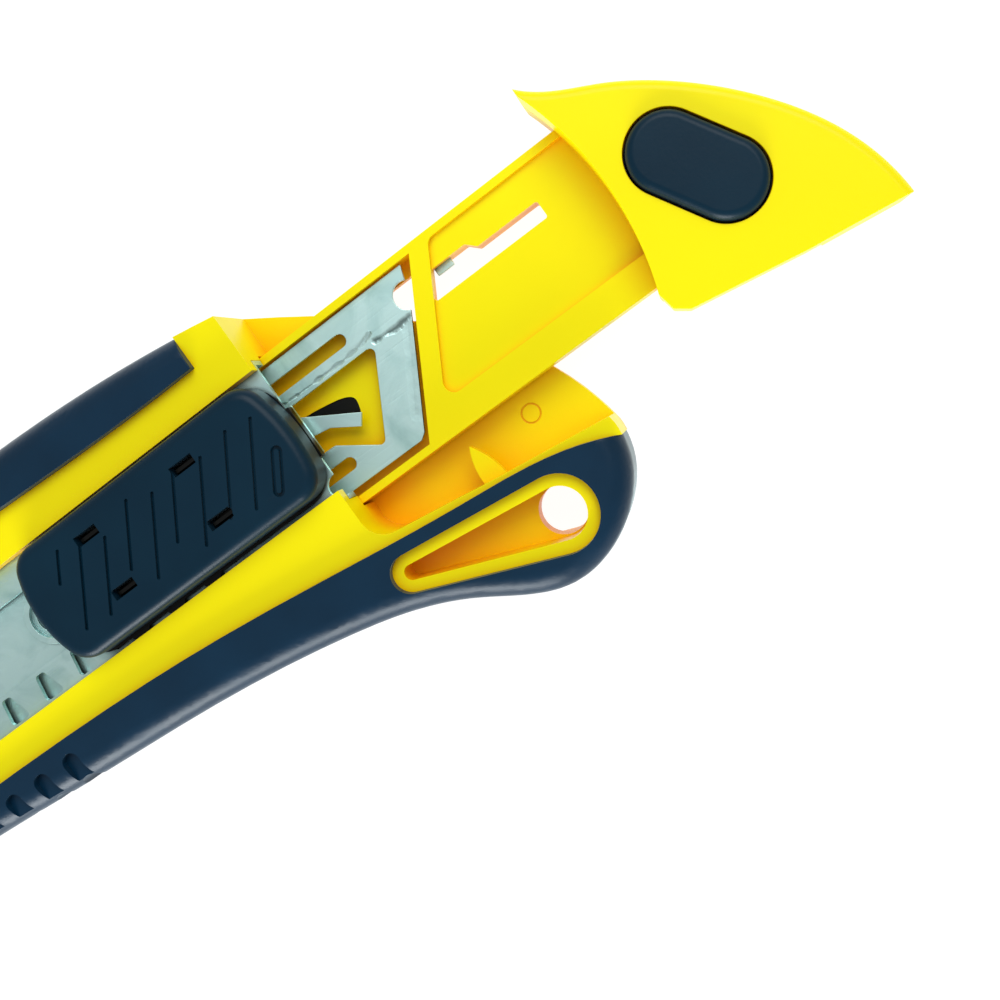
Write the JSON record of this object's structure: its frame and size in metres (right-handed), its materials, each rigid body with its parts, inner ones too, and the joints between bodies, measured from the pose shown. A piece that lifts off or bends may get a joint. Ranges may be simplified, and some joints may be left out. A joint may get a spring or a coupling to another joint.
{
  "type": "utility knife",
  "caption": "Snap-off utility knife: two-part handle with soft grips, hook and hanging hole, steel blade channel, thumb slide and a pull-out blade magazine with a release button.",
  "frame": {"origin": "under the middle of the knife's bounding box, on the back face it lies on, with the cap pulled out 41.5 mm and the blade drawn in", "axes": "+X along the handle to the tail and cap, +Y towards the spine, +Z out of the face with the thumb slide"},
  "size_m": [0.2156, 0.0524, 0.0146],
  "materials": {
    "yellow_abs": "moulded satin gloss",
    "navy_rubber": "soft matt over-mould",
    "navy_plastic": "satin",
    "black_acetal": "smooth",
    "strip_steel": "rolled strip, lightly scratched",
    "blade_steel": "ground",
    "zinc_screws": "zinc plated"
  },
  "bodies": {
    "handle": {"front_shell": "yellow_abs", "back_shell": "yellow_abs", "spine_grip_front": "navy_rubber", "spine_grip_back": "navy_rubber", "belly_grip_front": "navy_rubber", "belly_grip_back": "navy_rubber", "blade_channel": "strip_steel", "shell_screws": "zinc_screws"},
    "slide": {"slide_cover": "navy_plastic", "slide_base": "black_acetal", "slide_leaf": "strip_steel", "slide_rivets": "strip_steel", "click_spring": "strip_steel", "cutter_blade": "blade_steel"},
    "magazine": {"magazine_tray": "yellow_abs", "pusher_plate": "strip_steel", "stop_spring": "strip_steel", "feed_block": "black_acetal", "cap_cover": "yellow_abs", "cap_screws": "zinc_screws", "button_spring": "strip_steel"},
    "release": {"release_button": "navy_plastic", "latch_hook": "black_acetal"}
  },
  "joints": [
    {"name": "blade_slide", "type": "slide", "parent": "handle", "child": "slide", "axis": [-1, 0, 0], "range_m": [0, 0.08]},
    {"name": "magazine_pull", "type": "slide", "parent": "handle", "child": "magazine", "axis": [1, 0, 0], "range_m": [-0.0415, 0.13]},
    {"name": "release_press", "type": "slide", "parent": "magazine", "child": "release", "axis": [0, 0, -1], "range_m": [0, 0.0012], "stiffness_N_per_m": 400, "deforming": ["button_spring"]}
  ]
}
